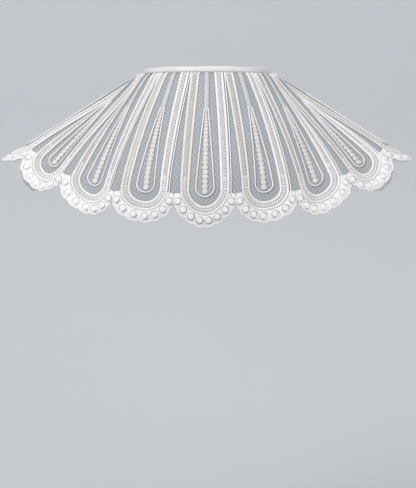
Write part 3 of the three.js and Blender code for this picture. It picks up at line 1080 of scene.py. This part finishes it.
def knob_shape(finish):
    """A padded knob set off centre in a thread ring, with the net darker between the two: partly
    net showing through, partly a painted shadow that the shift leaves as a crescent at the lower
    right.
    """
    outline = [
        (0.8, 1.3), (2.4, 1.25), (3.4, 1.05), (3.8, 0.75), (3.9, 0.2), (4.7, 0.15), (4.9, 0.7),
        (5.1, 1.1), (5.5, 1.15), (5.8, 0.85), (6.0, 0.2), (5.95, -0.3),
    ]
    # The dark tones in the groove are partly net and partly painted shade; the lower tones on the
    # slopes of knob and ring are painted shade
    tones = [1.0, 1.0, 1.0, 0.9, 0.15, 0.1, 0.6, 1.0, 1.0, 0.95, 0.9, 0.9]
    sewing = turned_shape(np.array(outline) / 1000, 16, tones)
    points = sewing.points[0]
    inner = np.linalg.norm(points[:, :2], axis=1) < KNOB_RADIUS
    # The knob moves up and to the left, so its dark groove shows as a painted shadow crescent at
    # the lower right
    points[inner, 0] -= SHADOW_CRESCENT_SHIFT
    points[inner, 1] += SHADOW_CRESCENT_SHIFT
    return hidden_shape(sewing, "framed_knob", finish)


class COLLAR_OT_border(Operator):
    """Make the scalloped border with its framed knobs and piped rim"""

    bl_idname = "collar.border"
    bl_label = "Scalloped Border"

    def execute(self, context):
        finish = braid_finish()
        knob = knob_shape(finish)
        sewing = Sewing()
        for petal in PETALS:
            sew_scallop(sewing, petal, on_petal(petal))
        border = sewing.make("sewn_border", finish, knob)
        settle(border, "scallop_border")
        bpy.data.objects.remove(knob)
        return {"FINISHED"}


def sew_scallop(sewing, petal, lay):
    """Satin ground, piped rim and framed knobs of one scallop."""
    angle = np.linspace(-BORDER_TURN, BORDER_TURN, 85)[None, :]
    inner = WINDOW_RADIUS + BRAID_WIDTH + 0.0002
    outer = scallop_edge(petal, angle) - RIM_INSET
    radius = inner + (outer - inner) * np.linspace(0, 1, 4)[:, None]
    x = radius * np.sin(angle)
    y = BEND_DROP + radius * np.cos(angle)
    sewing.slab(lay, x, y, SPACE - BORDER_SUNK, SPACE + GROUND_RISE)
    turn = np.linspace(-CLEFT_ANGLE, CLEFT_ANGLE, 120)
    edge = scallop_edge(petal, turn) - RIM_INSET
    rim = np.stack([edge * np.sin(turn), BEND_DROP + edge * np.cos(turn)], axis=1)
    sewing.cord(lay, rim, RIM_WIDTH, RIM_RISE, low=SPACE - BORDER_SUNK)
    angles, _ = knob_angles(petal)
    x = KNOB_RING * np.sin(angles)
    y = BEND_DROP + KNOB_RING * np.cos(angles)
    sewing.seat(lay, x, y, 0.0, (1.0, 1.0, 1.0), low=SPACE + 0.0001)


class COLLAR_OT_side_cords(Operator):
    """Make the thin cord that runs beside the right leg of every braid"""

    bl_idname = "collar.side_cords"
    bl_label = "Side Cords"

    def execute(self, context):
        sewing = Sewing()
        for petal in PETALS:
            drops = np.linspace(SEAM_CLEAR, SIDE_CORD_END, 44)
            reach = window_half(drops) + BRAID_WIDTH + SIDE_CORD_SPACE
            path = np.stack([reach, drops], axis=1)
            sewing.cord(on_petal(petal), path, sizes().side_cord_width, SIDE_CORD_HEIGHT)
        settle(sewing.make("side_cords", cord_finish()), None)
        return {"FINISHED"}


class COLLAR_OT_binding(Operator):
    """Make the folded binding round the neck with its row of stitches"""

    bl_idname = "collar.binding"
    bl_label = "Neck Binding"

    def execute(self, context):
        finish = kept_finish("neck_binding", band_finish)
        sewing = Sewing()
        end = DRAPE[-1, SEAM]
        length = np.linspace(-end, end, 241)[:, None]
        turn = np.linspace(0, 2 * math.pi, 18, endpoint=False)[None, :]
        thick = (BAND_INSIDE + BAND_OUTSIDE) / 2
        up = np.sign(np.cos(turn)) * np.abs(np.cos(turn)) ** 0.42
        out = np.sign(np.sin(turn)) * np.abs(np.sin(turn)) ** 0.7
        uneven = 0.00022 * np.sin(length * 95) + 0.00014 * np.sin(length * 231 + 1)
        height = BAND_HEIGHT / 2 * (1 + up) + uneven * (1 + up) / 2
        rise = BAND_OUTSIDE - thick + thick * out + 0.00035 * np.sin(length * 150) * out
        points = on_band(length + 0 * turn, height, rise)
        cloth = np.stack([length + 0 * turn, turn * 0.0015 + 0 * length], axis=-1)
        sewing.add(points, cloth, 1.0, tube_faces(*points.shape[:2]))
        places = np.arange(-end + 0.004, end - 0.003, STITCH_PITCH)

        def lay(x, y, rise):
            return on_band(x, -y, rise)

        stitch = bar_shape(finish)
        sewing.seat(lay, places, 0 * places - STITCH_HEIGHT, 0.0, BAND_STITCH, low=BAND_OUTSIDE)
        settle(sewing.make("neck_binding", finish, stitch), "neck_band")
        bpy.data.objects.remove(stitch)
        return {"FINISHED"}


class COLLAR_OT_clasp(Operator):
    """Make the hook plate behind the two front ends of the binding"""

    bl_idname = "collar.clasp"
    bl_label = "Front Clasp"

    def execute(self, context):
        low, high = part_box("front_clasp")
        low = Vector(low)
        high = Vector(high)
        mesh = bpy.data.meshes.new("hook_plate")
        plate = bmesh.new()
        bmesh.ops.create_cube(plate, size=1.0)
        bmesh.ops.scale(plate, vec=high - low, verts=plate.verts)
        bmesh.ops.translate(plate, vec=(low + high) / 2, verts=plate.verts)
        ends = [(edge, edge.verts[0].co - edge.verts[1].co) for edge in plate.edges]
        upright = [edge for edge, along in ends if abs(along.normalized().y) > 0.9]
        bmesh.ops.bevel(plate, geom=upright, offset=CLASP_CORNER, segments=4, affect="EDGES")
        edges = list(plate.edges)
        bmesh.ops.bevel(plate, geom=edges, offset=CLASP_EDGE, segments=2, affect="EDGES")
        bmesh.ops.recalc_face_normals(plate, faces=plate.faces)
        plate.to_mesh(mesh)
        plate.free()
        mesh.shade_smooth()
        clasp = put("hook_plate", mesh)
        mesh.materials.append(kept_finish("satin_metal", clasp_finish))
        settle(clasp, "front_clasp")
        return {"FINISHED"}


class COLLAR_OT_studio(Operator):
    """Make the floor, backdrop, lights and camera"""

    bl_idname = "collar.studio"
    bl_label = "Studio"

    def execute(self, context):
        scene = context.scene
        floor = -0.54
        back = 1.1
        bend = 0.5
        turn = np.linspace(0, math.pi / 2, 16)
        near = np.array([[-4.0, floor], [0.0, floor]])
        curve = np.array([back - bend, floor + bend])
        curve = curve + bend * np.stack([np.sin(turn), -np.cos(turn)], axis=1)
        profile = np.concatenate([near, curve, [[back, 3.0]]])
        across = np.array([-4.0, 4.0])
        points = [(x, y, z) for y, z in profile for x in across]
        faces = [(2 * i, 2 * i + 1, 2 * i + 3, 2 * i + 2) for i in range(len(profile) - 1)]
        mesh = bpy.data.meshes.new("studio_floor")
        mesh.from_pydata(points, [], faces)
        mesh.shade_smooth()
        mesh.materials.append(studio_finish(colours().paper))
        sweep = put("studio_floor", mesh)
        for lamp in LAMPS:
            add_lamp(*lamp)
        world = bpy.data.worlds.new("studio_air")
        world.use_nodes = True
        world.node_tree.nodes["Background"].inputs[0].default_value = (0.9, 0.93, 1.0, 1.0)
        world.node_tree.nodes["Background"].inputs[1].default_value = 0.37
        scene.world = world
        scene.view_settings.view_transform = "Standard"
        camera = bpy.data.cameras.new("photo_camera")
        camera.sensor_fit = "HORIZONTAL"
        camera.sensor_width = 36.0
        camera.lens = camera.sensor_width * CAMERA_DISTANCE / (PHOTO_WIDTH * PIXEL)
        camera.clip_end = 60.0
        seat = put("photo_camera", camera)
        seat.location = (PIXEL, -CAMERA_DISTANCE - 0.05, -174 * PIXEL)
        seat.rotation_euler = (math.pi / 2, 0.0, 0.0)
        scene.camera = seat
        return {"FINISHED"}


def add_lamp(name, place, size, power):
    """A soft square lamp that faces the middle of the collar."""
    lamp = bpy.data.lights.new(name, "AREA")
    lamp.shape = "SQUARE"
    lamp.size = size
    lamp.energy = power
    holder = put(name, lamp)
    holder.location = place
    aim = Vector((0.0, 0.0, -0.1)) - Vector(place)
    holder.rotation_euler = aim.to_track_quat("-Z", "Y").to_euler()


class COLLAR_PT_panel(Panel):
    """Sizes, colours and steps of the collar"""

    bl_idname = "COLLAR_PT_panel"
    bl_label = "Cape Collar"
    bl_space_type = "VIEW_3D"
    bl_region_type = "UI"
    bl_category = "Collar"

    def draw(self, context):
        for group in (context.scene.collar_sizes, context.scene.collar_colours):
            box = self.layout.box()
            for name in group.bl_rna.properties.keys():
                if name not in ("rna_type", "name"):
                    box.prop(group, name)
        for step in STEPS:
            self.layout.operator(step.bl_idname)


STEPS = (
    COLLAR_OT_studio,
    COLLAR_OT_binding,
    COLLAR_OT_net_sheet,
    COLLAR_OT_braids,
    COLLAR_OT_stems,
    COLLAR_OT_dots,
    COLLAR_OT_border,
    COLLAR_OT_side_cords,
    COLLAR_OT_clasp,
)
CLASSES = (CollarSizes, CollarColours, *STEPS, COLLAR_PT_panel)


def register():
    for item in CLASSES:
        bpy.utils.register_class(item)
    bpy.types.Scene.collar_sizes = PointerProperty(type=CollarSizes)
    bpy.types.Scene.collar_colours = PointerProperty(type=CollarColours)


def unregister():
    del bpy.types.Scene.collar_colours
    del bpy.types.Scene.collar_sizes
    for item in reversed(CLASSES):
        bpy.utils.unregister_class(item)


def main():
    register()
    for step in STEPS:
        name = step.bl_idname.split(".")[1]
        getattr(bpy.ops.collar, name)()


if __name__ == "__main__":
    main()
